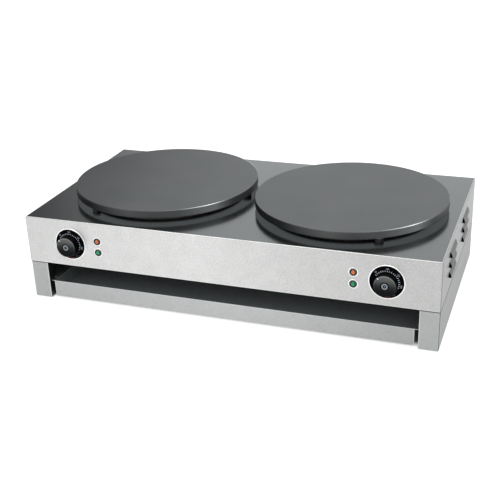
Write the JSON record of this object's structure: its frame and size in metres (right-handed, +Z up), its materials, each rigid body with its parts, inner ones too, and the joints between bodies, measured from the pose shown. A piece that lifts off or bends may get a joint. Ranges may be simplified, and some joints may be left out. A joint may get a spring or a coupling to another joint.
{
  "type": "electric crepe maker",
  "caption": "Countertop electric crepe maker: folded stainless housing on an open base, two round cast griddle plates, dials with lamps and a slide-out drip tray.",
  "frame": {"origin": "on the counter, under the centre of the overall box", "axes": "+X to the right of someone facing the controls, +Y to the back, +Z up"},
  "size_m": [0.876, 0.5, 0.2114],
  "materials": {
    "stainless_cover": "fine brushed",
    "stainless_base": "satin",
    "stainless_inner": "plain mill",
    "griddle_coating": "matt non-stick coating",
    "knob_plastic": "satin black",
    "bezel_plastic": "gloss black with a pale printed scale",
    "insert_metal": "turned",
    "amber_lens": "faceted, clear",
    "green_lens": "faceted, clear",
    "lamp_plastic": "gloss black",
    "foot_rubber": "matt",
    "element_sheath": "heat tinted",
    "zinc_steel": "plated",
    "insulation_fibre": "felted fibre",
    "bush_ceramic": "plain",
    "thermostat_case": "moulded",
    "terminal_brass": "plain",
    "capillary_copper": "drawn tube",
    "wire_insulation": "glass-braid sleeve",
    "block_plastic": "moulded",
    "gland_plastic": "moulded"
  },
  "bodies": {
    "root": {"housing_cover": "stainless_cover", "rear_panel": "stainless_cover", "floor_pan": "stainless_inner", "pan_front_strip": "stainless_inner", "left_side_frame": "stainless_base", "right_side_frame": "stainless_base", "rear_skirt": "stainless_base", "foot_pads": "foot_rubber", "left_tray_runner": "stainless_inner", "right_tray_runner": "stainless_inner", "left_griddle_plate": "griddle_coating", "right_griddle_plate": "griddle_coating", "left_heating_element": "element_sheath", "right_heating_element": "element_sheath", "left_clamp_plate": "zinc_steel", "right_clamp_plate": "zinc_steel", "left_insulation_disc": "insulation_fibre", "right_insulation_disc": "insulation_fibre", "left_plate_standoffs": "zinc_steel", "right_plate_standoffs": "zinc_steel", "left_standoff_screws": "zinc_steel", "right_standoff_screws": "zinc_steel", "clamp_studs": "zinc_steel", "clamp_nuts": "zinc_steel", "terminal_bushes": "bush_ceramic", "left_thermostat_body": "thermostat_case", "right_thermostat_body": "thermostat_case", "left_sensing_bulb": "capillary_copper", "right_sensing_bulb": "capillary_copper", "thermostat_screws": "zinc_steel", "left_dial_bezel": "bezel_plastic", "right_dial_bezel": "bezel_plastic", "left_amber_lens": "amber_lens", "left_green_lens": "green_lens", "right_amber_lens": "amber_lens", "right_green_lens": "green_lens", "lamp_holders": "lamp_plastic", "lamp_nuts": "lamp_plastic", "lamp_bodies": "thermostat_case", "terminal_block": "block_plastic", "terminal_screws": "terminal_brass", "earth_stud": "terminal_brass", "earth_nut": "terminal_brass", "cable_gland": "gland_plastic", "gland_nut": "gland_plastic", "gland_locknut": "gland_plastic", "left_wiring": "wire_insulation", "right_wiring": "wire_insulation", "base_screws": "zinc_steel", "rear_screws": "zinc_steel"},
    "tray": {"drip_tray": "stainless_base"},
    "left_dial": {"left_knob": "knob_plastic", "left_knob_insert": "insert_metal", "left_thermostat_shaft": "zinc_steel"},
    "right_dial": {"right_knob": "knob_plastic", "right_knob_insert": "insert_metal", "right_thermostat_shaft": "zinc_steel"}
  },
  "joints": [
    {"name": "tray_slide", "type": "slide", "parent": "root", "child": "tray", "axis": [0, -1, 0], "range_m": [0, 0.33]},
    {"name": "left_dial_turn", "type": "hinge", "parent": "root", "child": "left_dial", "pos_m": [-0.332, -0.229, 0.134], "axis": [0, 1, 0], "range_deg": [0, 240]},
    {"name": "right_dial_turn", "type": "hinge", "parent": "root", "child": "right_dial", "pos_m": [0.332, -0.229, 0.134], "axis": [0, 1, 0], "range_deg": [0, 240]}
  ]
}
